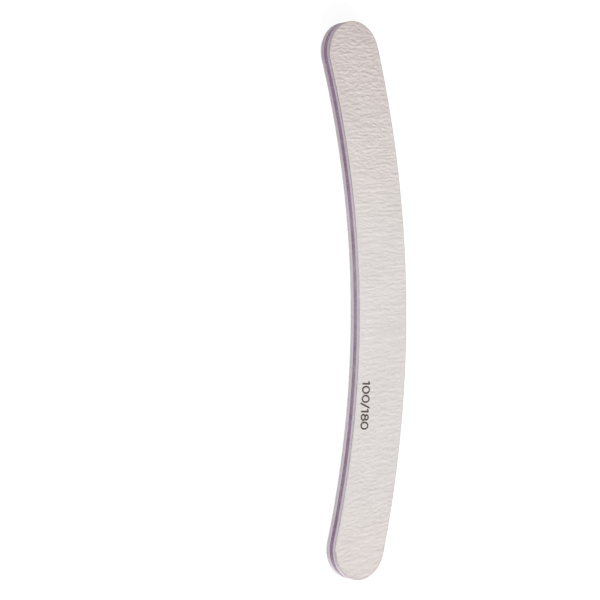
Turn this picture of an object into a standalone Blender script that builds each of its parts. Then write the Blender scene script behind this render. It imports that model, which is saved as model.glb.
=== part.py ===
"""Curved nail file: abrasive sheets and foam laminated on both sides of a stiff plastic core.

Lengths are in metres. The file lies flat: +Y runs along it, +X points to its convex edge, and +Z is up
through its layers. The origin is the middle of its bounding box, on the surface that it lies on.
"""

import math

import bmesh
import bpy

# Outline that the die cuts through all layers at once
LENGTH = 0.178
WAIST_WIDTH = 0.020
END_FLARE = 0.0002
CONVEX_EDGE_RADIUS = 0.302

# Thickness of each layer; the abrasive coats reach from their paper to the tops of their wrinkles
COARSE_GRIT_THICKNESS = 0.00033
FINE_GRIT_THICKNESS = 0.00031
PAPER_THICKNESS = 0.00032
ADHESIVE_THICKNESS = 0.00006
FOAM_THICKNESS = 0.00088
CORE_THICKNESS = 0.00152

# Straight steps that stand for each long edge's arc, and for each half of a round end
EDGE_ARC_STEPS = 40
HALF_END_STEPS = 14

# Edges sharper than this stay sharp in the shading
SMOOTH_ANGLE = math.radians(30)

# Base colours, linear
COARSE_GRIT_COLOUR = (0.70, 0.66, 0.63, 1.0)
FINE_GRIT_COLOUR = (0.75, 0.71, 0.67, 1.0)
PAPER_COLOUR = (0.52, 0.48, 0.48, 1.0)
ADHESIVE_COLOUR = (0.74, 0.72, 0.68, 1.0)
FOAM_COLOUR = (0.60, 0.53, 0.62, 1.0)
CORE_COLOUR = (0.24, 0.13, 0.25, 1.0)


def clear_scene():
    """Remove every object that the starting scene holds."""
    for found in list(bpy.data.objects):
        bpy.data.objects.remove(found, do_unlink=True)


def make_material(name, colour, roughness):
    """A Principled material of one colour; no layer of the file is metallic."""
    material = bpy.data.materials.new(name)
    material.use_nodes = True
    shader = material.node_tree.nodes["Principled BSDF"]
    shader.inputs["Base Color"].default_value = colour
    shader.inputs["Roughness"].default_value = roughness
    shader.inputs["Metallic"].default_value = 0.0
    material.diffuse_color = colour
    return material


def arc_points(centre_x, centre_y, radius, start, stop, steps):
    """Points along an arc, from start up to but not including stop."""
    points = []
    for step in range(steps):
        angle = start + (stop - start) * step / steps
        points.append((centre_x + radius * math.cos(angle), centre_y + radius * math.sin(angle)))
    return points


def outline_points():
    """The die's outline, anticlockwise seen from above.

    Two long arcs share the file's cross axis, and one round end at each side is tangent to both of them.
    The concave edge's radius follows from that: it is the arc through the waist that touches both ends.
    Each end has a point at its tip, so that the file is exactly as long as LENGTH.
    """
    half_waist = WAIST_WIDTH / 2
    end_radius = half_waist + END_FLARE
    end_y = LENGTH / 2 - end_radius
    convex_centre_x = half_waist - CONVEX_EDGE_RADIUS
    end_x = convex_centre_x + math.sqrt((CONVEX_EDGE_RADIUS - end_radius) ** 2 - end_y ** 2)

    from_waist = half_waist + end_x
    concave_edge_radius = (from_waist ** 2 + end_y ** 2 - end_radius ** 2) / (2 * (end_radius - from_waist))
    concave_centre_x = -half_waist - concave_edge_radius

    convex_angle = math.atan2(end_y, end_x - convex_centre_x)
    concave_angle = math.atan2(end_y, end_x - concave_centre_x)

    far_tip = math.pi / 2
    near_tip = math.pi + far_tip
    points = arc_points(convex_centre_x, 0, CONVEX_EDGE_RADIUS, -convex_angle, convex_angle, EDGE_ARC_STEPS)
    points += arc_points(end_x, end_y, end_radius, convex_angle, far_tip, HALF_END_STEPS)
    points += arc_points(end_x, end_y, end_radius, far_tip, math.pi + concave_angle, HALF_END_STEPS)
    points += arc_points(concave_centre_x, 0, concave_edge_radius, concave_angle, -concave_angle, EDGE_ARC_STEPS)
    points += arc_points(end_x, -end_y, end_radius, math.pi - concave_angle, near_tip, HALF_END_STEPS)
    points += arc_points(end_x, -end_y, end_radius, near_tip, math.tau - convex_angle, HALF_END_STEPS)

    middle_x = (max(x for x, y in points) + min(x for x, y in points)) / 2
    return [(x - middle_x, y) for x, y in points]


def cut_layer(name, outline, thickness, base_z, material, file_body):
    """One layer of the laminate: the outline as a flat plate, lying with its underside at base_z."""
    plate = bmesh.new()
    underside = plate.faces.new([plate.verts.new((x, y, 0)) for x, y in outline])
    raised = bmesh.ops.extrude_face_region(plate, geom=[underside])["geom"]
    top_verts = [item for item in raised if isinstance(item, bmesh.types.BMVert)]
    bmesh.ops.translate(plate, verts=top_verts, vec=(0, 0, thickness))
    bmesh.ops.recalc_face_normals(plate, faces=plate.faces)

    mesh = bpy.data.meshes.new(name)
    plate.to_mesh(mesh)
    plate.free()
    mesh.materials.append(material)
    mesh.shade_smooth()
    mesh.set_sharp_from_angle(angle=SMOOTH_ANGLE)

    layer = bpy.data.objects.new(name, mesh)
    layer.location = (0, 0, base_z)
    layer.parent = file_body
    bpy.context.scene.collection.objects.link(layer)
    return layer


def build_file():
    """Stack the layers from the plain side, which is down, to the printed side."""
    file_body = bpy.data.objects.new("nail_file", None)
    bpy.context.scene.collection.objects.link(file_body)

    coarse_grit = make_material("coarse_grit", COARSE_GRIT_COLOUR, 0.9)
    fine_grit = make_material("fine_grit", FINE_GRIT_COLOUR, 0.85)
    paper = make_material("backing_paper", PAPER_COLOUR, 0.8)
    adhesive = make_material("adhesive_film", ADHESIVE_COLOUR, 0.5)
    foam = make_material("cushion_foam", FOAM_COLOUR, 0.85)
    core = make_material("core_plastic", CORE_COLOUR, 0.45)

    layers = [
        ("fine_grit_coat", FINE_GRIT_THICKNESS, fine_grit),
        ("fine_paper_backing", PAPER_THICKNESS, paper),
        ("fine_outer_adhesive", ADHESIVE_THICKNESS, adhesive),
        ("fine_foam_layer", FOAM_THICKNESS, foam),
        ("fine_inner_adhesive", ADHESIVE_THICKNESS, adhesive),
        ("core_board", CORE_THICKNESS, core),
        ("coarse_inner_adhesive", ADHESIVE_THICKNESS, adhesive),
        ("coarse_foam_layer", FOAM_THICKNESS, foam),
        ("coarse_outer_adhesive", ADHESIVE_THICKNESS, adhesive),
        ("coarse_paper_backing", PAPER_THICKNESS, paper),
        ("coarse_grit_coat", COARSE_GRIT_THICKNESS, coarse_grit),
    ]
    outline = outline_points()
    base_z = 0.0
    for name, thickness, material in layers:
        cut_layer(name, outline, thickness, base_z, material, file_body)
        base_z += thickness


clear_scene()
build_file()
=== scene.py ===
import math

import bpy
import numpy as np
from mathutils import Matrix, Vector
from mathutils.kdtree import KDTree

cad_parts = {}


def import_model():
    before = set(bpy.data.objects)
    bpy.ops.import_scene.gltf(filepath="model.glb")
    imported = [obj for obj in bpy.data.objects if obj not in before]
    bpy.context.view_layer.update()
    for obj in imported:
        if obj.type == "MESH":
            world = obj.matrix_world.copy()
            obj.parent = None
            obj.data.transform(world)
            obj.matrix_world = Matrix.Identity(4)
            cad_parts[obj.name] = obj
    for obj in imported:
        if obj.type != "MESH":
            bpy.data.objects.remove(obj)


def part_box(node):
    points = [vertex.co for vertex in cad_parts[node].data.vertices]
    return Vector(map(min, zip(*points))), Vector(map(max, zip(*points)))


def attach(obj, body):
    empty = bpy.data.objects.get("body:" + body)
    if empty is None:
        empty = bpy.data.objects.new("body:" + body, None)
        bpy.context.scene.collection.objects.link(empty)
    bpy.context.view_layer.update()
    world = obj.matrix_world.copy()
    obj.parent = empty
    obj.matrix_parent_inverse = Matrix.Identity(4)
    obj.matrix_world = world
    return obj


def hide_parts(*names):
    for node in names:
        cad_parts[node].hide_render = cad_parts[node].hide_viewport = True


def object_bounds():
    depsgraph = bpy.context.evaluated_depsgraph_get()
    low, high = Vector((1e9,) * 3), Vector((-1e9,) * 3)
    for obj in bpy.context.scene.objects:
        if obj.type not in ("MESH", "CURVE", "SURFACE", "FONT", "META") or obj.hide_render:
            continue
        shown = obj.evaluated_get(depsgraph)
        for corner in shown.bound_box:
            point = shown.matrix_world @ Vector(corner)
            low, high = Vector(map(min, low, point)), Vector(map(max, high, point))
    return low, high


# The curved nail file dressed with its crinkled abrasive faces, cut edges and printed grit numbers.
# Lengths are in metres. +Y runs along the file to its far end, +X points to its convex edge, and +Z is up
# to the printed side.

MM = 0.001

# The die's outline, in the same sizes as the CAD solids; its length is the frame's
WAIST_WIDTH = 20 * MM
END_FLARE = 0.2 * MM
CONVEX_EDGE_RADIUS = 302 * MM

# How far inside the outline the meshes keep, and how finely they follow it.
# The columns nearest the edges are listed as shares of the file's width.
EDGE_INSET = 0.02 * MM
ROW_STEP = 0.2 * MM
MIDDLE_COLUMNS = 84
EDGE_COLUMN_SHARES = (0.0, 0.0022, 0.0055, 0.0105)
SMOOTH_ANGLE = math.radians(60)

# The grid that the crinkles are worked out on
CRINKLE_GRID_STEP = 0.1 * MM
CRINKLE_MARGIN = 4 * MM

# Troughs across the file: their period, and how widely their period and their heading vary, as shares of
# that period's frequency. The wave that makes them counts at most as this many times its mean size.
TROUGH_PERIOD = 1.5 * MM
TROUGH_SPREAD_SHARES = (0.55, 0.45)
FINE_TROUGH_PERIOD = 0.9 * MM
FINE_TROUGH_SPREAD_SHARES = (0.50, 0.50)
MOST_WAVE_SIZE = 1.5

# How far a fold is alike across the file and along it
FOLD_LENGTHS = (1.3 * MM, 0.5 * MM)
LONG_FOLD_LENGTHS = (6 * MM, 0.55 * MM)

# Strength of each kind of relief: at mid length, and what is added to that at the far and at the near end
FOLD_STRENGTHS = (0.44, 0.14, 0.10)
LONG_FOLD_STRENGTHS = (0.58, -0.50, -0.20)
TROUGH_STRENGTHS = (0.56, 0, 0)
FINE_TROUGH_STRENGTHS = (0.33, 0, -0.13)

# Depth from the relief's top to its bottom, which are taken at these percentiles
CRINKLE_DEPTH = 0.122 * MM
CLIPPED_PERCENTS = (1, 99)

# The relief's strength is made alike from place to place over this length, up to this share
EVENING_LENGTH = 2 * MM
EVENING_SHARE = 0.8
LEAST_SQUARED_STRENGTH = 1e-6

# How much each kind of trough counts where the material paints shade into the creases
TROUGH_CREASE_SHARE = 0.75
FINE_TROUGH_CREASE_SHARE = 0.35

# What is special to an end starts and is complete at these distances from the waist. At the far end the
# crinkles are deeper by this gain, and shorter across the file by this squeeze.
END_START = 5 * MM
END_REACH = 88 * MM
FAR_END_GAIN = 0.78
FAR_END_SQUEEZE = 0.22

# The creases climb by this slope across the file. Those at these places along it come from these places
# of the grid, which sets them further apart on the near half.
CRINKLE_LEAN = 0.06
CREASE_PLACES = (-95 * MM, -20 * MM, 0, 95 * MM)
CREASE_SOURCES = (-80 * MM, -18 * MM, 0, 95 * MM)

# The strip along the whole edge that the die pressed down, and the share of the edge's painted shade that
# the concave side gets
RIM_DROP = 0.035 * MM
RIM_WIDTH = 0.25 * MM
CONCAVE_RIM_SHADE_SHARE = 0.25

# The darker strip round the rim of each end
END_RIM_DARK_WIDTH = 0.9 * MM
END_RIM_DARK_LENGTH = 9 * MM

# What is left of the crinkles at the concave edge, where they are calm, and at the convex edge, where
# they are pressed flatter
CALM_WIDTH = 1.1 * MM
CALM_SHARE = 0.45
PRESSED_WIDTH = 0.5 * MM
PRESSED_SHARE = 0.4

# Cut edges: how far each wanders inwards, and its steps from the underside to the top. The foam's has a
# dimple for each cell that the die opened, whose reach is a share of the cell, and a hollow at mid height.
PAPER_EDGE_DEPTH = 0.04 * MM
PAPER_EDGE_STEPS = 3
FILM_EDGE_DEPTH = 0.03 * MM
FILM_EDGE_STEPS = 1
CORE_EDGE_DEPTH = 0.02 * MM
CORE_EDGE_STEPS = 8
FOAM_CELL_SIZE = 0.14 * MM
FOAM_DIMPLE_DEPTH = 0.05 * MM
FOAM_DIMPLE_REACH_SHARE = 0.7
FOAM_HOLLOW_DEPTH = 0.05 * MM
FOAM_EDGE_STEPS = 10

# Printed grit numbers, from the middle of the first character's foot
GRIT_NUMBERS = "100/180"
DIGIT_HEIGHT = 3.4 * MM
DIGIT_STROKE = 0.55 * MM
PRINT_START = (-3.80 * MM, -26.38 * MM)
PRINT_LEAN = math.radians(4.4)

# The print's shapes, as shares of the digit height: where the characters' middles are, half the width of
# the 0, where the 1's flag ends, half the width and height of the 8's rings, and the ends of the slash
GLYPH_PLACE_SHARES = (0.0, 0.559, 1.410, 2.040, 2.612, 3.155, 3.927)
ZERO_HALF_WIDTH_SHARE = 0.31
ONE_FLAG_SHARES = (-0.25, 0.78)
EIGHT_UPPER_SHARES = (0.22, 0.21)
EIGHT_LOWER_SHARES = (0.26, 0.245)
EIGHT_DROP_SHARE = 0.01
SLASH_SHARES = ((-0.22, -0.10), (0.22, 1.04))

# The ink stands above the coat's mesh and reaches into it, in lanes of points along each stroke
INK_RISE = 0.012 * MM
INK_SINK = 0.006 * MM
INK_STEP = 0.1 * MM
INK_LANES = 5
OVAL_STEPS = 40

# Seeds of the two faces' crinkles, and of the cut edges
PRINTED_SEED = 11
PLAIN_SEED = 23
EDGE_SEED = 5

# Camera, from the fit of the photograph's outline; its angles are in radians
CAMERA_AIM = (-28.79 * MM, 0.84 * MM, 4.6 * MM)
CAMERA_TILT = 0.6758
CAMERA_PITCH = -0.0153
CAMERA_ROLL = -0.0118
CAMERA_DISTANCE = 480 * MM
CAMERA_CLIP_START = 10 * MM
CAMERA_PIXELS_PER_MM = 3.2348
IMAGE_PIXELS = 600
SENSOR_WIDTH_MM = 36.0

# Lamps: place, aim, diameter and power in watts
LAMPS = {
    "key": ((0.10, -0.75, 0.45), (0, -0.03, 0), 0.36, 6.97),
    "fill": ((-0.50, 0, 0.25), (0, 0, 0), 0.30, 0.63),
    "pool": ((-0.02, 0.02, 0.12), (0, 0.02, 0), 0.10, 0.035),
}

# The floor: from its middle to its edge, the length over which it drifts between two greys, and the glow
# that lets it photograph white
FLOOR_REACH = 3.0
FLOOR_DRIFT_LENGTH = 0.2
FLOOR_DARK = 0.20
FLOOR_LIGHT = 0.22
FLOOR_GLOW = 0.885

# The studio's light at the horizon, and above it, where a direction of length 1 rises at least this far
HORIZON_LIGHT = 0.95
UPPER_LIGHT = 0.25
UPPER_LIGHT_FROM = 0.2


# The outline


class Outline:
    """The die's outline: a convex arc, a concave arc and round ends tangent to both.

    The concave edge's radius follows from the rest: it is the arc through the waist that touches both ends.
    """

    def __init__(self, high):
        half_waist = WAIST_WIDTH / 2
        self.end_radius = half_waist + END_FLARE
        self.end_y = high.y - self.end_radius
        self.tip_y = self.end_y + self.end_radius - EDGE_INSET
        self.convex_radius = CONVEX_EDGE_RADIUS
        convex_x = half_waist - CONVEX_EDGE_RADIUS
        end_x = convex_x + math.sqrt((self.convex_radius - self.end_radius) ** 2 - self.end_y ** 2)
        from_waist = half_waist + end_x
        squares = from_waist ** 2 + self.end_y ** 2 - self.end_radius ** 2
        self.concave_radius = squares / (2 * (self.end_radius - from_waist))
        concave_x = -half_waist - self.concave_radius
        convex_angle = math.atan2(self.end_y, end_x - convex_x)
        concave_angle = math.atan2(self.end_y, end_x - concave_x)
        shift = high.x - half_waist
        self.convex_x = convex_x + shift
        self.concave_x = concave_x + shift
        self.end_x = end_x + shift
        self.convex_end_y = self.end_y + self.end_radius * math.sin(convex_angle)
        self.concave_end_y = self.end_y - self.end_radius * math.sin(concave_angle)

    def edges(self, y):
        """The concave and the convex edge's x at each y, for the meshes that keep inside the outline."""
        y = np.asarray(y, float)
        from_waist = np.abs(y)
        radius = self.end_radius - EDGE_INSET
        cap = np.sqrt(np.maximum(radius ** 2 - (from_waist - self.end_y) ** 2, 0.0))
        convex = self.convex_x + np.sqrt((self.convex_radius - EDGE_INSET) ** 2 - y ** 2)
        concave = self.concave_x + np.sqrt((self.concave_radius + EDGE_INSET) ** 2 - y ** 2)
        high = np.where(from_waist > self.convex_end_y, self.end_x + cap, convex)
        low = np.where(from_waist > self.concave_end_y, self.end_x - cap, concave)
        return low, high

    def depths(self, x, y):
        """How far each point lies inside the convex side, and inside the concave side, of the outline.

        The whole round end counts for the convex side, and the concave half of it for the concave side.
        """
        cap = self.end_radius - np.hypot(x - self.end_x, np.abs(y) - self.end_y)
        convex = self.convex_radius - np.hypot(x - self.convex_x, y)
        concave = np.hypot(x - self.concave_x, y) - self.concave_radius
        in_end = np.abs(y) > self.end_y
        in_concave_half = in_end & (x <= self.end_x)
        convex = np.where(in_end, np.minimum(convex, cap), convex)
        concave = np.where(in_concave_half, np.minimum(cap, concave), concave)
        return convex, concave

    def rows(self):
        """The y of each row across the file, tips left out, about ROW_STEP apart along the edge."""
        cap_steps = round(self.end_radius * math.pi / 2 / ROW_STEP)
        angles = np.arange(1, cap_steps) * (math.pi / 2) / cap_steps
        cap = self.end_y + (self.end_radius - EDGE_INSET) * np.sin(angles)
        middle_steps = round(2 * self.end_y / ROW_STEP)
        middle = np.linspace(-self.end_y, self.end_y, middle_steps + 1)
        return np.concatenate([-cap[::-1], middle, cap])

    def loop(self, rows, inset):
        """The edge of the meshes, moved further inwards by inset, as a loop of points.

        It holds the near tip, the convex side, the far tip, and the concave side back.
        """
        low_x, high_x = self.edges(rows)
        x = np.concatenate([[self.end_x], high_x, [self.end_x], low_x[::-1]])
        y = np.concatenate([[-self.tip_y], rows, [self.tip_y], rows[::-1]])
        tangent_x = np.roll(x, -1) - np.roll(x, 1)
        tangent_y = np.roll(y, -1) - np.roll(y, 1)
        length = np.hypot(tangent_x, tangent_y)
        return x - tangent_y / length * inset, y + tangent_x / length * inset


def loop_size(rows):
    """How many points a loop has: two for each row, and the two tips."""
    return 2 * len(rows) + 2


# Crinkles


def frequencies(shape):
    """The frequencies along and across the file of a crinkle grid's transform."""
    rows, columns = shape
    along = np.fft.fftfreq(rows, CRINKLE_GRID_STEP)[:, None]
    across = np.fft.fftfreq(columns, CRINKLE_GRID_STEP)[None, :]
    return along, across


def blurred(field, length_across, length_along):
    """The field smoothed over about the two lengths."""
    along, across = frequencies(field.shape)
    spectrum = np.fft.fft2(field)
    spectrum *= np.exp(-math.pi ** 2 * ((across * length_across) ** 2 + (along * length_along) ** 2))
    return np.fft.ifft2(spectrum).real


def smooth_noise(shape, lengths, rng):
    """A random field of unit variance, alike over about the two lengths."""
    field = blurred(rng.standard_normal(shape), *lengths)
    return (field - field.mean()) / field.std()


def troughs(shape, period, spread_shares, rng):
    """0 on the pillows to about 1 in the troughs of a wave whose period and heading wander."""
    noise = np.fft.fft2(rng.standard_normal(shape))
    along, across = frequencies(shape)
    frequency = 1 / period
    spread_along, spread_across = (share * frequency for share in spread_shares)
    band = np.exp(-0.5 * ((along - frequency) / spread_along) ** 2)
    fan = np.exp(-0.5 * (across / spread_across) ** 2)
    wave = np.fft.ifft2(noise * band * fan * (along > 0))
    size = np.clip(np.abs(wave) / np.abs(wave).mean(), 0, MOST_WAVE_SIZE)
    return (0.5 - 0.5 * np.cos(np.angle(wave))) ** 2 * size ** 0.5


def evened(relief):
    """The relief with its calm places made stronger and its rough places weaker, up to a share."""
    broad = blurred(relief, EVENING_LENGTH, EVENING_LENGTH)
    local = relief - broad
    squared = blurred(local ** 2, EVENING_LENGTH, EVENING_LENGTH)
    strength = np.sqrt(np.maximum(squared, LEAST_SQUARED_STRENGTH))
    return broad + local * (strength.mean() / strength) ** EVENING_SHARE


def interpolated(field, column, row, past_column, past_row):
    """The field's value at points that lie past a column and a row by these shares of a step."""
    low = field[row, column] * (1 - past_column) + field[row, column + 1] * past_column
    high = field[row + 1, column] * (1 - past_column) + field[row + 1, column + 1] * past_column
    return low * (1 - past_row) + high * past_row


def far_share(y):
    """0 on the near half of the file, rising smoothly to 1 at its far end.

    -y instead of y gives the near end's share.
    """
    share = np.clip((y - END_START) / (END_REACH - END_START), 0, 1)
    return share ** 2 * (3 - 2 * share)


class Crinkles:
    """Crinkled paper: creases across the file that wander, branch and end, with pillows between them."""

    def __init__(self, low, high, seed):
        rng = np.random.default_rng(seed)
        self.x0 = low.x - CRINKLE_MARGIN
        self.y0 = low.y - CRINKLE_MARGIN
        columns = int((high.x - low.x + 2 * CRINKLE_MARGIN) / CRINKLE_GRID_STEP)
        rows = int((high.y - low.y + 2 * CRINKLE_MARGIN) / CRINKLE_GRID_STEP)
        shape = (rows, columns)
        coarse = troughs(shape, TROUGH_PERIOD, TROUGH_SPREAD_SHARES, rng)
        fine = troughs(shape, FINE_TROUGH_PERIOD, FINE_TROUGH_SPREAD_SHARES, rng)
        folds = np.abs(smooth_noise(shape, FOLD_LENGTHS, rng))
        long_folds = np.abs(smooth_noise(shape, LONG_FOLD_LENGTHS, rng))
        # The troughs, as a mask for the shade that the material paints into the creases
        self.crease_shade = np.clip(TROUGH_CREASE_SHARE * coarse + FINE_TROUGH_CREASE_SHARE * fine, 0, 1)

        y = self.y0 + CRINKLE_GRID_STEP * np.arange(rows)
        far = far_share(y)[:, None]
        near = far_share(-y)[:, None]

        def weighted(strengths, kind):
            middle, at_far, at_near = strengths
            return (middle + at_far * far + at_near * near) * kind

        relief = weighted(FOLD_STRENGTHS, folds) + weighted(LONG_FOLD_STRENGTHS, long_folds)
        relief = relief - weighted(TROUGH_STRENGTHS, coarse) - weighted(FINE_TROUGH_STRENGTHS, fine)
        relief = evened(relief)
        bottom, top = np.percentile(relief, CLIPPED_PERCENTS)
        self.height = np.clip((relief - top) / (top - bottom), -1, 0)

    def sample(self, field, x, y):
        """The field's value at each point, interpolated.

        The creases climb a little towards the convex edge, are shorter at the far end, and lie further
        apart on the near half.
        """
        source_x = x * (1 + FAR_END_SQUEEZE * far_share(y))
        source_y = np.interp(y, CREASE_PLACES, CREASE_SOURCES) - CRINKLE_LEAN * x
        across = (source_x - self.x0) / CRINKLE_GRID_STEP
        along = (source_y - self.y0) / CRINKLE_GRID_STEP
        column = np.clip(across.astype(int), 0, field.shape[1] - 2)
        row = np.clip(along.astype(int), 0, field.shape[0] - 2)
        return interpolated(field, column, row, across - column, along - row)


# Meshes


def make_mesh(name, points, faces, material):
    """An object in the scene from points and faces, shaded smooth."""
    mesh = bpy.data.meshes.new(name)
    mesh.from_pydata([tuple(p) for p in points], [], faces)
    mesh.validate()
    mesh.materials.append(material)
    mesh.shade_smooth()
    mesh.set_sharp_from_angle(angle=SMOOTH_ANGLE)
    piece = bpy.data.objects.new(name, mesh)
    bpy.context.scene.collection.objects.link(piece)
    return piece


def cap_faces(rows, first, upward):
    """Faces that close a loop of the outline row by row, as a flat top or underside.

    first is the number of the loop's first point.
    """
    loop = loop_size(rows)
    faces = []
    for row in range(-1, len(rows)):
        right_a = first + row + 1
        right_b = first + row + 2
        left_a = first + (loop - 1 - row) % loop
        left_b = first + loop - 2 - row
        corners = [right_a, right_b, left_b, left_a]
        distinct = [c for i, c in enumerate(corners) if c not in corners[:i]]
        faces.append(distinct if upward else distinct[::-1])
    return faces


class Face:
    """A crinkled abrasive face as a grid of rows across the file.

    surface_z is the height of the tops of its crinkles, and sheet_z of the flat side on the paper.
    """

    def __init__(self, outline, rows, crinkles, surface_z, sheet_z):
        self.outline = outline
        self.rows = rows
        self.crinkles = crinkles
        self.surface_z = surface_z
        self.sheet_z = sheet_z
        self.up = 1 if surface_z > sheet_z else -1
        edge = np.array(EDGE_COLUMN_SHARES)
        inner = edge[-1] + (1 - 2 * edge[-1]) * np.arange(1, MIDDLE_COLUMNS) / MIDDLE_COLUMNS
        self.shares = np.concatenate([edge, inner, (1 - edge)[::-1]])
        low_x, high_x = outline.edges(rows)
        self.x = low_x[:, None] + (high_x - low_x)[:, None] * self.shares[None, :]
        self.y = np.repeat(rows[:, None], len(self.shares), axis=1)
        self.z = self.height(self.x, self.y)

    def rim(self, x, y):
        """1 at the cut edge, falling to 0 over the strip that the die pressed down."""
        convex, concave = self.outline.depths(x, y)
        return np.exp(-((np.minimum(convex, concave) / RIM_WIDTH) ** 2))

    def rim_shade(self, x, y):
        """How much painted shade lies along the cut edge: most along the convex side."""
        convex, concave = self.outline.depths(x, y)
        along_convex = np.exp(-((convex / RIM_WIDTH) ** 2))
        return along_convex + CONCAVE_RIM_SHADE_SHARE * np.exp(-((concave / RIM_WIDTH) ** 2))

    def worn(self, x, y):
        """1 along the rim of each round end, falling to 0 inwards and towards the long edges."""
        convex, concave = self.outline.depths(x, y)
        inwards = np.exp(-((np.minimum(convex, concave) / END_RIM_DARK_WIDTH) ** 2))
        return inwards * np.clip((np.abs(y) - self.outline.end_y) / END_RIM_DARK_LENGTH, 0, 1)

    def strength(self, x, y):
        """How strong the crinkles are: weaker beside both long edges, and stronger towards the far end."""
        convex, concave = self.outline.depths(x, y)
        by_concave = np.exp(-((np.maximum(concave, 0) / CALM_WIDTH) ** 2))
        by_convex = np.exp(-((np.maximum(convex, 0) / PRESSED_WIDTH) ** 2))
        left = (1 - (1 - CALM_SHARE) * by_concave) * (1 - (1 - PRESSED_SHARE) * by_convex)
        return left * (1 + FAR_END_GAIN * far_share(y))

    def height(self, x, y):
        """Height of the surface: the crinkles, and the pressed rim."""
        relief = self.crinkles.sample(self.crinkles.height, x, y) * CRINKLE_DEPTH * self.strength(x, y)
        return self.surface_z + self.up * (relief - RIM_DROP * self.rim(x, y))

    def on_mesh(self, x, y):
        """Height of the meshed surface at points of the face."""
        row = np.clip(np.searchsorted(self.rows, y) - 1, 0, len(self.rows) - 2)
        past_row = (y - self.rows[row]) / (self.rows[row + 1] - self.rows[row])
        low_x, high_x = self.outline.edges(y)
        share = np.clip((x - low_x) / (high_x - low_x), 0, 1)
        column = np.clip(np.searchsorted(self.shares, share) - 1, 0, len(self.shares) - 2)
        past_column = (share - self.shares[column]) / (self.shares[column + 1] - self.shares[column])
        return interpolated(self.z, column, row, past_column, past_row)

    def build(self, name, node, material):
        """The coat as a closed piece: the grid, a row of triangles at each tip, a wall and a flat side."""
        rows, columns = self.x.shape
        grid = np.stack([self.x, self.y, self.z], 2).reshape(-1, 3)
        end_x = self.outline.end_x
        tip_y = self.outline.tip_y
        tip_xy = np.array([[end_x, -tip_y], [end_x, tip_y]])
        tip_z = self.height(tip_xy[:, 0], tip_xy[:, 1])
        near_tip = len(grid)
        far_tip = near_tip + 1
        faces = []
        for row in range(rows - 1):
            near = row * columns
            far = near + columns
            faces += [[near + i, near + i + 1, far + i + 1, far + i] for i in range(columns - 1)]
        last = (rows - 1) * columns
        faces += [[near_tip, i + 1, i] for i in range(columns - 1)]
        faces += [[far_tip, last + i, last + i + 1] for i in range(columns - 1)]

        rim = [near_tip] + [row * columns + columns - 1 for row in range(rows)]
        rim += [far_tip] + [row * columns for row in range(rows - 1, -1, -1)]
        base = far_tip + 1
        loop_x, loop_y = self.outline.loop(self.rows, 0.0)
        flat_side = np.column_stack([loop_x, loop_y, np.full(len(loop_x), self.sheet_z)])
        for i in range(len(rim)):
            j = (i + 1) % len(rim)
            faces.append([base + i, base + j, rim[j], rim[i]])
        faces += cap_faces(self.rows, base, False)
        if self.up < 0:
            faces = [face[::-1] for face in faces]

        points = np.concatenate([grid, np.column_stack([tip_xy, tip_z]), flat_side])
        piece = make_mesh(name, points, faces, material)
        self.store(piece, "crease_shade", self.crinkles.sample(self.crinkles.crease_shade, self.x, self.y), 0.0)
        self.store(piece, "rim_shade", self.rim_shade(self.x, self.y), 0.0)
        self.store(piece, "worn", self.worn(self.x, self.y), 1.0)
        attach(piece, "root")
        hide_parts(node)

    @staticmethod
    def store(piece, name, values, elsewhere):
        """Keep a value per point for the material; all points after the grid's get the one elsewhere."""
        full = np.full(len(piece.data.vertices), elsewhere, np.float32)
        full[: values.size] = values.reshape(-1)
        piece.data.attributes.new(name, "FLOAT", "POINT").data.foreach_set("value", full)


def edge_piece(name, node, outline, rows, steps, inset_of, material):
    """A layer of the laminate with a worked cut edge, as rings of points with flat sides.

    inset_of gives how far each point of a ring lies inside the outline, from the ring's share of the
    layer's height, the points' distances along the edge and the ring's own height.
    """
    low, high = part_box(node)
    loop = loop_size(rows)
    base_x, base_y = outline.loop(rows, 0.0)
    along = np.concatenate([[0.0], np.cumsum(np.hypot(np.diff(base_x), np.diff(base_y)))])
    points = []
    for ring in range(steps + 1):
        share = ring / steps
        z = low.z + (high.z - low.z) * share
        x, y = outline.loop(rows, inset_of(share, along, z))
        points.append(np.stack([x, y, np.full(loop, z)], 1))
    faces = []
    for ring in range(steps):
        lower = ring * loop
        upper = lower + loop
        for i in range(loop):
            j = (i + 1) % loop
            faces.append([lower + i, lower + j, upper + j, upper + i])
    faces += cap_faces(rows, 0, False)
    faces += cap_faces(rows, steps * loop, True)
    piece = make_mesh(name, np.concatenate(points), faces, material)
    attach(piece, "root")
    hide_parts(node)


def rough_edge(rows, depth, rng):
    """A cut edge that wanders inwards by up to depth, a little differently at each height."""

    def inset(share, along, z):
        wobble = rng.random(loop_size(rows))
        return depth * (wobble + np.roll(wobble, 1) + np.roll(wobble, -1)) / 3

    return inset


def celled_edge(outline, rows, node, rng):
    """A foam's cut edge: a dimple for each cell that the die opened, and a slight hollow at mid height."""
    low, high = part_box(node)
    base_x, base_y = outline.loop(rows, 0.0)
    length = np.hypot(np.diff(base_x), np.diff(base_y)).sum()
    count = int(length * (high.z - low.z) / FOAM_CELL_SIZE ** 2)
    centres = rng.random((count, 2)) * (length, high.z - low.z) + (0, low.z)
    tree = KDTree(count)
    for i, (along, z) in enumerate(centres):
        tree.insert((along, z, 0), i)
    tree.balance()

    def inset(share, along, z):
        to_centre = np.array([tree.find((a, z, 0))[2] for a in along])
        dimple = np.maximum(1 - (to_centre / (FOAM_DIMPLE_REACH_SHARE * FOAM_CELL_SIZE)) ** 2, 0)
        return FOAM_DIMPLE_DEPTH * dimple + FOAM_HOLLOW_DEPTH * math.sin(math.pi * share)

    return inset


# Materials


def srgb(red, green, blue):
    """Linear colour from 0 to 255 display values."""
    values = []
    for channel in (red, green, blue):
        c = channel / 255
        values.append(c / 12.92 if c <= 0.04045 else ((c + 0.055) / 1.055) ** 2.4)
    return (*values, 1.0)


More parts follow.
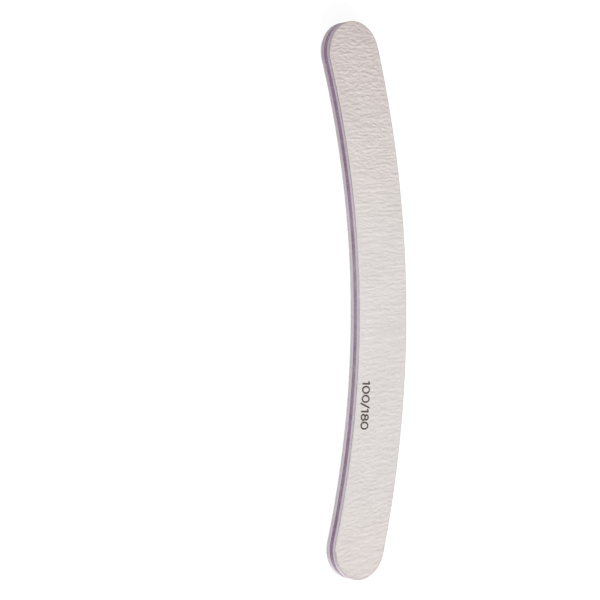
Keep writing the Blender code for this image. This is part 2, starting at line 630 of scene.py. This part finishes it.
class Look:
    """The looks of a surface: a Principled material wired from procedural nodes."""

    def __init__(self, name, roughness, specular):
        self.material = bpy.data.materials.new(name)
        self.material.use_nodes = True
        self.tree = self.material.node_tree
        self.shader = self.tree.nodes["Principled BSDF"]
        self.shader.inputs["Roughness"].default_value = roughness
        self.shader.inputs["Specular IOR Level"].default_value = specular
        self.where = self.tree.nodes.new("ShaderNodeTexCoord").outputs["Object"]

    def link(self, source, target):
        self.tree.links.new(source, target)

    def noise(self, size, detail=2, rough=0.5, scale=(1, 1, 1)):
        """Noise from about 0 to 1 whose features are about size metres, longer where a scale is below 1."""
        place = self.tree.nodes.new("ShaderNodeMapping")
        place.inputs["Scale"].default_value = scale
        self.link(self.where, place.inputs["Vector"])
        node = self.tree.nodes.new("ShaderNodeTexNoise")
        node.inputs["Scale"].default_value = 1 / size
        node.inputs["Detail"].default_value = detail
        node.inputs["Roughness"].default_value = rough
        self.link(place.outputs["Vector"], node.inputs["Vector"])
        return node.outputs["Fac"]

    def patches(self, size, least=0.0, most=1.0, low=0.35, high=0.65, detail=2, rough=0.5, scale=(1, 1, 1)):
        """Noise drawn apart into patches: least where it is under low, and most where it is over high."""
        return self.ramp(self.noise(size, detail, rough, scale), low, high, least, most)

    def cells(self, size):
        """The distance from the nearest cell's middle, in cell widths of about size metres."""
        node = self.tree.nodes.new("ShaderNodeTexVoronoi")
        node.inputs["Scale"].default_value = 1 / size
        self.link(self.where, node.inputs["Vector"])
        return node.outputs["Distance"]

    def along(self, start, stop, at_start=0.0, at_stop=1.0):
        """A value that changes evenly between two places along the file, and is level beyond them."""
        node = self.tree.nodes.new("ShaderNodeSeparateXYZ")
        self.link(self.where, node.inputs[0])
        return self.ramp(node.outputs["Y"], start, stop, at_start, at_stop)

    def attribute(self, name):
        """A value that is stored for each point of the mesh."""
        node = self.tree.nodes.new("ShaderNodeAttribute")
        node.attribute_name = name
        return node.outputs["Fac"]

    def ramp(self, value, low, high, at_low=0.0, at_high=1.0):
        """at_low at the value low and beyond, at_high at the value high and beyond, and evenly between."""
        node = self.tree.nodes.new("ShaderNodeMapRange")
        node.inputs["From Min"].default_value = low
        node.inputs["From Max"].default_value = high
        node.inputs["To Min"].default_value = at_low
        node.inputs["To Max"].default_value = at_high
        self.link(value, node.inputs["Value"])
        return node.outputs["Result"]

    def sum(self, first, second, factor):
        """The first value plus factor times the second."""
        node = self.tree.nodes.new("ShaderNodeMath")
        node.operation = "MULTIPLY_ADD"
        node.inputs[1].default_value = factor
        self.link(second, node.inputs[0])
        self.link(first, node.inputs[2])
        return node.outputs["Value"]

    def mix(self, share, first, second):
        """A colour that goes from first to second with share; both are colours or sockets."""
        node = self.tree.nodes.new("ShaderNodeMix")
        node.data_type = "RGBA"
        sockets = [socket for socket in node.inputs if socket.type == "RGBA"]
        for socket, value in zip(sockets, (first, second)):
            if isinstance(value, tuple):
                socket.default_value = value
            else:
                self.link(value, socket)
        self.link(share, node.inputs["Factor"])
        return [socket for socket in node.outputs if socket.type == "RGBA"][0]

    def colour(self, value):
        self.link(value, self.shader.inputs["Base Color"])

    def bump(self, height, distance):
        """A bump on top of those that the surface has already."""
        node = self.tree.nodes.new("ShaderNodeBump")
        node.inputs["Distance"].default_value = distance
        self.link(height, node.inputs["Height"])
        normal = self.shader.inputs["Normal"]
        if normal.links:
            self.link(normal.links[0].from_socket, node.inputs["Normal"])
        self.link(node.outputs["Normal"], normal)


def abrasive_material(name, coat, far_coat, shade, grain_size, grain_height):
    """Matt paper coated with grains, whose colour goes from coat to far_coat along the far half.

    It is browner at the far tip and warmer at the near tip, speckled and broadly mottled. It has a little
    painted shade in the creases, is a little darker round the rims of the ends, and has painted shade in a
    bare paper grey along the cut edge.
    """
    far_tip = srgb(213, 190, 184)
    near_tip = srgb(232, 217, 214)
    rim_shade_grey = srgb(174, 167, 163)
    look = Look(name, roughness=0.85, specular=0.2)
    coated = look.mix(look.along(15 * MM, 70 * MM), coat, far_coat)
    browner = look.mix(look.along(75 * MM, 90 * MM, at_stop=0.24), coated, far_tip)
    warmed = look.mix(look.along(-60 * MM, -86 * MM, at_stop=0.4), browner, near_tip)
    # A little painted shade in the creases, where the troughs lie
    creases = look.ramp(look.attribute("crease_shade"), low=0.2, high=1, at_high=0.02)
    crease_shaded = look.mix(creases, warmed, shade)
    specks = look.patches(size=grain_size, most=0.12, detail=3, rough=0.6)
    speckled = look.mix(specks, crease_shaded, shade)
    mottle = look.patches(size=9 * MM, most=0.10, high=0.7, detail=3)
    mottled = look.mix(mottle, speckled, shade)
    # A little darker round the rims of the ends
    end_rim_darkening = look.ramp(look.attribute("worn"), low=0, high=1, at_high=0.16)
    worn = look.mix(end_rim_darkening, mottled, shade)
    # Painted shade along the cut edge, ragged, in a bare paper grey
    ragged_rim_shade = look.sum(look.attribute("rim_shade"), look.noise(size=0.3 * MM, detail=3, rough=0.6), factor=0.6)
    rim_shade = look.ramp(ragged_rim_shade, low=0.6, high=1.2, at_high=0.8)
    look.colour(look.mix(rim_shade, worn, rim_shade_grey))
    look.bump(look.cells(size=grain_size), distance=grain_height)
    look.bump(look.noise(size=2.5 * grain_size, detail=3, rough=0.6), distance=1.5 * grain_height)
    return look.material


def paper_edge_material(name, dark, light, far_shade_share):
    """Cut edge of the abrasive sheet's paper: grey fibres, darker in stretches, with painted shade towards
    the far end.

    darkening is the share of the painted shade's grey at the far end; a quarter of it is there from the
    near end on.
    """
    far_shade_grey = srgb(98, 91, 89)
    look = Look(name, roughness=0.85, specular=0.2)
    fibres = look.patches(size=0.18 * MM, most=0.5, detail=3, rough=0.65, scale=(1, 1, 2))
    stretches = look.patches(size=2.5 * MM, most=0.5, low=0.38, high=0.62, scale=(1, 1, 0.2))
    grey = look.mix(look.sum(fibres, stretches, factor=1), dark, light)
    # Painted shade towards the far end
    far = look.along(15 * MM, 60 * MM, at_start=0.25 * far_shade_share, at_stop=far_shade_share)
    look.colour(look.mix(far, grey, far_shade_grey))
    look.bump(look.noise(size=0.09 * MM, rough=0.6), distance=0.02 * MM)
    return look.material


def foam_material(name, dark, light, far_shade_share):
    """Pale lilac closed-cell foam, cut through its cells, with grey patches and painted shade towards the
    far end.

    darkening is the share of the painted shade's lilac at the far end; only half of it is left at the very
    tip.
    """
    grey_patch = srgb(198, 192, 197)
    far_shade_lilac = srgb(149, 131, 146)
    look = Look(name, roughness=0.8, specular=0.25)
    cell_walls = look.ramp(look.cells(size=0.16 * MM), low=0.1, high=0.7)
    cut = look.mix(cell_walls, dark, light)
    drifted = look.mix(look.patches(size=6 * MM, most=0.4), cut, grey_patch)
    # Painted shade towards the far end, half of it taken back at the very tip
    far = look.along(20 * MM, 75 * MM, at_stop=far_shade_share)
    at_tip = look.along(77 * MM, 85 * MM, at_stop=far_shade_share)
    look.colour(look.mix(look.sum(far, at_tip, factor=-0.5), drifted, far_shade_lilac))
    look.bump(look.cells(size=0.13 * MM), distance=0.03 * MM)
    return look.material


def core_material():
    """Satin purple board with fine upright cutting marks and pale dust.

    A paler tone lies on it in uneven patches, with painted light along the length on top: most at mid
    length, less towards the near end and hardly any towards the far end, with some more at both tips.
    """
    dark = srgb(110, 81, 109)
    light = srgb(140, 110, 138)
    dust = srgb(168, 150, 167)
    haze_and_light = srgb(156, 141, 154)
    look = Look("core", roughness=0.42, specular=0.45)
    marks = look.patches(size=0.35 * MM, detail=3, rough=0.6, scale=(1, 1, 0.12))
    marked = look.mix(marks, dark, light)
    dusting = look.patches(size=0.5 * MM, most=0.6, low=0.54, high=0.72, detail=4, rough=0.7)
    dusty = look.mix(dusting, marked, dust)
    uneven = look.patches(size=4 * MM, least=-0.3, most=0.3, detail=3, rough=0.6)
    # Painted light along the length: lightest at mid length, dimmer towards both ends, a little more at
    # both tips
    broad = look.sum(look.along(-90 * MM, -65 * MM), look.along(20 * MM, 75 * MM), factor=-1.5)
    narrow_light = look.sum(look.along(-45 * MM, 0), look.along(10 * MM, 35 * MM), factor=-1)
    near_tip = look.along(-72 * MM, -84 * MM, at_stop=0.42)
    tips = look.sum(near_tip, look.along(78 * MM, 86 * MM), factor=0.25)
    haze_and_light_share = look.sum(uneven, broad, factor=0.33)
    haze_and_light_share = look.sum(haze_and_light_share, narrow_light, factor=0.36)
    haze_and_light_share = look.sum(haze_and_light_share, tips, factor=1)
    look.colour(look.mix(haze_and_light_share, dusty, haze_and_light))
    look.bump(look.noise(size=0.12 * MM, rough=0.6, scale=(1, 1, 0.1)), distance=0.02 * MM)
    return look.material


def adhesive_material():
    """Thin glassy film line between the layers."""
    dark = srgb(180, 168, 178)
    light = srgb(206, 196, 204)
    look = Look("adhesive", roughness=0.35, specular=0.4)
    look.colour(look.mix(look.patches(size=0.8 * MM), dark, light))
    look.bump(look.noise(size=0.2 * MM), distance=0.01 * MM)
    return look.material


def ink_material():
    """Dark brown-grey ink, thin over the tops of the grains."""
    solid = srgb(76, 64, 57)
    thin = srgb(138, 124, 117)
    look = Look("ink", roughness=0.7, specular=0.3)
    worn = look.patches(size=0.12 * MM, most=0.45, low=0.45, high=0.7, detail=3, rough=0.7)
    look.colour(look.mix(worn, solid, thin))
    look.bump(look.noise(size=0.1 * MM, rough=0.6), distance=0.02 * MM)
    return look.material


def floor_material():
    """White sweep, lit a little from behind as a light table is, so that it photographs white."""
    dark = (FLOOR_DARK, FLOOR_DARK, FLOOR_DARK, 1)
    light = (FLOOR_LIGHT, FLOOR_LIGHT, FLOOR_LIGHT, 1)
    look = Look("floor", roughness=0.9, specular=0.1)
    look.colour(look.mix(look.patches(size=FLOOR_DRIFT_LENGTH, low=0.3, high=0.7), dark, light))
    look.shader.inputs["Emission Color"].default_value = (1, 1, 1, 1)
    look.shader.inputs["Emission Strength"].default_value = FLOOR_GLOW
    return look.material


# The print


def oval(centre_y, half_width, half_height):
    """A closed oval stroke in digit heights."""
    angles = np.linspace(0, 2 * math.pi, OVAL_STEPS + 1)
    return np.column_stack([half_width * np.cos(angles), centre_y + half_height * np.sin(angles)])


def glyph_strokes(glyph):
    """Centre lines of a character's strokes, in digit heights from the middle of its foot."""
    half_stroke = DIGIT_STROKE / DIGIT_HEIGHT / 2
    half_height = 0.5 - half_stroke
    if glyph == "0":
        return [oval(0.5, ZERO_HALF_WIDTH_SHARE, half_height)]
    if glyph == "1":
        top = (0, 1 - half_stroke)
        return [np.array([(0, 0), top]), np.array([top, ONE_FLAG_SHARES])]
    if glyph == "8":
        upper_width, upper_height = EIGHT_UPPER_SHARES
        lower_width, lower_height = EIGHT_LOWER_SHARES
        upper_y = 0.5 + half_height - upper_height
        lower_y = 0.5 - EIGHT_DROP_SHARE - half_height + lower_height
        return [oval(upper_y, upper_width, upper_height), oval(lower_y, lower_width, lower_height)]
    return [np.array(SLASH_SHARES)]


def finely_stepped(line, closed):
    """The line with points at most INK_STEP apart; a closed one doesn't repeat its first point."""
    points = [line[0]]
    for a, b in zip(line[:-1], line[1:]):
        steps = max(1, math.ceil(np.hypot(*(b - a)) / INK_STEP))
        points += [a + (b - a) * k / steps for k in range(1, steps + 1)]
    return np.array(points[:-1] if closed else points)


def ribbon(stroke, height_of):
    """A stroke of ink that lies on the face: its points and faces, as a closed thin body."""
    closed = np.allclose(stroke[0], stroke[-1])
    line = finely_stepped(stroke, closed)
    if closed:
        ahead = np.roll(line, -1, 0)
        behind = np.roll(line, 1, 0)
    else:
        ahead = np.vstack([line[1:], line[-1]])
        behind = np.vstack([line[0], line[:-1]])
    direction = (ahead - behind) / np.linalg.norm(ahead - behind, axis=1)[:, None]
    side = np.column_stack([-direction[:, 1], direction[:, 0]])
    lanes = np.linspace(-0.5, 0.5, INK_LANES) * DIGIT_STROKE
    flat = np.concatenate([line + side * lane for lane in lanes])
    z = height_of(flat[:, 0], flat[:, 1])
    top_points = np.column_stack([flat, z + INK_RISE])
    under_points = np.column_stack([flat, z - INK_SINK])

    count = len(line)
    under = len(flat)
    last = (INK_LANES - 1) * count
    spans = count if closed else count - 1
    faces = []
    for start in range(0, last, count):
        for i in range(spans):
            j = (i + 1) % count
            top = [start + i, start + j, start + count + j, start + count + i]
            faces.append(top)
            faces.append([under + corner for corner in reversed(top)])
    for i in range(spans):
        j = (i + 1) % count
        faces.append([under + i, under + j, j, i])
        faces.append([last + i, last + j, under + last + j, under + last + i])
    if not closed:
        for start in range(0, last, count):
            faces.append([start, start + count, under + start + count, under + start])
            stop = start + count - 1
            faces.append([stop + count, stop, under + stop, under + stop + count])
    return np.concatenate([top_points, under_points]), faces


def grit_numbers(face):
    """The grit numbers, read along the file from the waist, tops towards the convex edge."""
    reading = np.array([-math.sin(PRINT_LEAN), -math.cos(PRINT_LEAN)])
    upward = np.array([math.cos(PRINT_LEAN), -math.sin(PRINT_LEAN)])
    points = []
    faces = []
    base = 0
    for glyph, place in zip(GRIT_NUMBERS, GLYPH_PLACE_SHARES):
        for stroke in glyph_strokes(glyph):
            shares = stroke + np.array([place, 0.0])
            turned = shares[:, :1] * reading + shares[:, 1:] * upward
            new_points, new_faces = ribbon(np.array(PRINT_START) + DIGIT_HEIGHT * turned, face.on_mesh)
            points.append(new_points)
            faces += [[base + corner for corner in new_face] for new_face in new_faces]
            base += len(new_points)
    piece = make_mesh("grit_numbers", np.concatenate(points), faces, ink_material())
    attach(piece, "root")


# Stage


def make_camera():
    """The photograph's view, from the fitted tilt, pitch, roll and distance."""
    turn = (
        Matrix.Rotation(-CAMERA_TILT, 3, "Y")
        @ Matrix.Rotation(CAMERA_PITCH, 3, "X")
        @ Matrix.Rotation(CAMERA_ROLL, 3, "Z")
    )
    data = bpy.data.cameras.new("camera")
    data.sensor_width = SENSOR_WIDTH_MM
    focal_pixels = CAMERA_PIXELS_PER_MM * CAMERA_DISTANCE / MM
    data.lens = SENSOR_WIDTH_MM * focal_pixels / IMAGE_PIXELS
    data.clip_start = CAMERA_CLIP_START
    camera = bpy.data.objects.new("camera", data)
    place = Vector(CAMERA_AIM) + turn.col[2] * CAMERA_DISTANCE
    camera.matrix_world = Matrix.Translation(place) @ turn.to_4x4()
    bpy.context.scene.collection.objects.link(camera)
    bpy.context.scene.camera = camera


def area_light(name, place, aim, diameter, power):
    """A round lamp that the camera doesn't see."""
    data = bpy.data.lights.new(name, "AREA")
    data.shape = "DISK"
    data.size = diameter
    data.energy = power
    light = bpy.data.objects.new(name, data)
    light.location = place
    light.rotation_mode = "QUATERNION"
    light.rotation_quaternion = (Vector(aim) - Vector(place)).to_track_quat("-Z", "Y")
    light.visible_camera = False
    bpy.context.scene.collection.objects.link(light)


def make_floor():
    """A flat white floor, far wider than the view."""
    mesh = bpy.data.meshes.new("floor")
    signs = ((-1, -1), (1, -1), (1, 1), (-1, 1))
    mesh.from_pydata([(FLOOR_REACH * x, FLOOR_REACH * y, 0) for x, y in signs], [], [(0, 1, 2, 3)])
    mesh.materials.append(floor_material())
    floor = bpy.data.objects.new("floor", mesh)
    bpy.context.scene.collection.objects.link(floor)


def make_studio():
    """White light from all round, strongest at the horizon and dimmer above it."""
    world = bpy.data.worlds.new("studio")
    world.use_nodes = True
    nodes = world.node_tree.nodes
    links = world.node_tree.links
    split = nodes.new("ShaderNodeSeparateXYZ")
    links.new(nodes.new("ShaderNodeTexCoord").outputs["Generated"], split.inputs[0])
    dimming = nodes.new("ShaderNodeMapRange")
    dimming.inputs["From Min"].default_value = 0
    dimming.inputs["From Max"].default_value = UPPER_LIGHT_FROM
    dimming.inputs["To Min"].default_value = HORIZON_LIGHT
    dimming.inputs["To Max"].default_value = UPPER_LIGHT
    links.new(split.outputs["Z"], dimming.inputs["Value"])
    nodes["Background"].inputs["Color"].default_value = (1, 1, 1, 1)
    links.new(dimming.outputs["Result"], nodes["Background"].inputs["Strength"])
    bpy.context.scene.world = world


# The file's pieces


def make_printed_face(outline, rows, low, high):
    """The upper, coarser face, which carries the print."""
    material = abrasive_material(
        "printed_side",
        coat=srgb(228, 223, 220),
        far_coat=srgb(229, 219, 216),
        shade=srgb(178, 170, 167),
        grain_size=0.16 * MM,
        grain_height=0.02 * MM,
    )
    sheet_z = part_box("coarse_grit_coat")[0].z
    face = Face(outline, rows, Crinkles(low, high, PRINTED_SEED), high.z, sheet_z)
    face.build("printed_abrasive", "coarse_grit_coat", material)
    return face


def make_plain_face(outline, rows, low, high):
    """The underside, with finer grains and a lighter, warmer tone."""
    material = abrasive_material(
        "plain_side",
        coat=srgb(230, 226, 220),
        far_coat=srgb(232, 225, 219),
        shade=srgb(184, 176, 170),
        grain_size=0.11 * MM,
        grain_height=0.015 * MM,
    )
    sheet_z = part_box("fine_grit_coat")[1].z
    face = Face(outline, rows, Crinkles(low, high, PLAIN_SEED), low.z, sheet_z)
    face.build("plain_abrasive", "fine_grit_coat", material)


def make_inner_layers(outline, rows):
    """The layers between the two faces, which show as stripes along the cut edge."""
    rng = np.random.default_rng(EDGE_SEED)
    core = core_material()
    film = adhesive_material()
    foams = {
        "coarse": foam_material(
            "coarse_foam", dark=srgb(189, 175, 188), light=srgb(214, 201, 212), far_shade_share=0.5
        ),
        "fine": foam_material(
            "fine_foam", dark=srgb(192, 183, 192), light=srgb(215, 206, 215), far_shade_share=0.65
        ),
    }
    papers = {
        "coarse": paper_edge_material(
            "coarse_paper_edge", dark=srgb(160, 154, 152), light=srgb(214, 208, 206), far_shade_share=0.68
        ),
        "fine": paper_edge_material(
            "fine_paper_edge", dark=srgb(186, 182, 185), light=srgb(221, 218, 221), far_shade_share=0.25
        ),
    }

    def layer(name, node, steps, inset_of, material):
        edge_piece(name, node, outline, rows, steps, inset_of, material)

    papery = rough_edge(rows, PAPER_EDGE_DEPTH, rng)
    sticky = rough_edge(rows, FILM_EDGE_DEPTH, rng)
    for side in ("coarse", "fine"):
        celled = celled_edge(outline, rows, side + "_foam_layer", rng)
        layer(side + "_paper", side + "_paper_backing", PAPER_EDGE_STEPS, papery, papers[side])
        layer(side + "_outer_film", side + "_outer_adhesive", FILM_EDGE_STEPS, sticky, film)
        layer(side + "_foam", side + "_foam_layer", FOAM_EDGE_STEPS, celled, foams[side])
        layer(side + "_inner_film", side + "_inner_adhesive", FILM_EDGE_STEPS, sticky, film)
    layer("core_plate", "core_board", CORE_EDGE_STEPS, rough_edge(rows, CORE_EDGE_DEPTH, rng), core)


def main():
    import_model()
    cad_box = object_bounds()
    low, high = cad_box
    outline = Outline(high)
    rows = outline.rows()
    make_camera()
    make_floor()
    make_studio()
    for name, (place, aim, diameter, power) in LAMPS.items():
        area_light(name, place, aim, diameter, power)
    bpy.context.scene.view_settings.view_transform = "Standard"

    printed = make_printed_face(outline, rows, low, high)
    make_plain_face(outline, rows, low, high)
    make_inner_layers(outline, rows)
    grit_numbers(printed)


main()
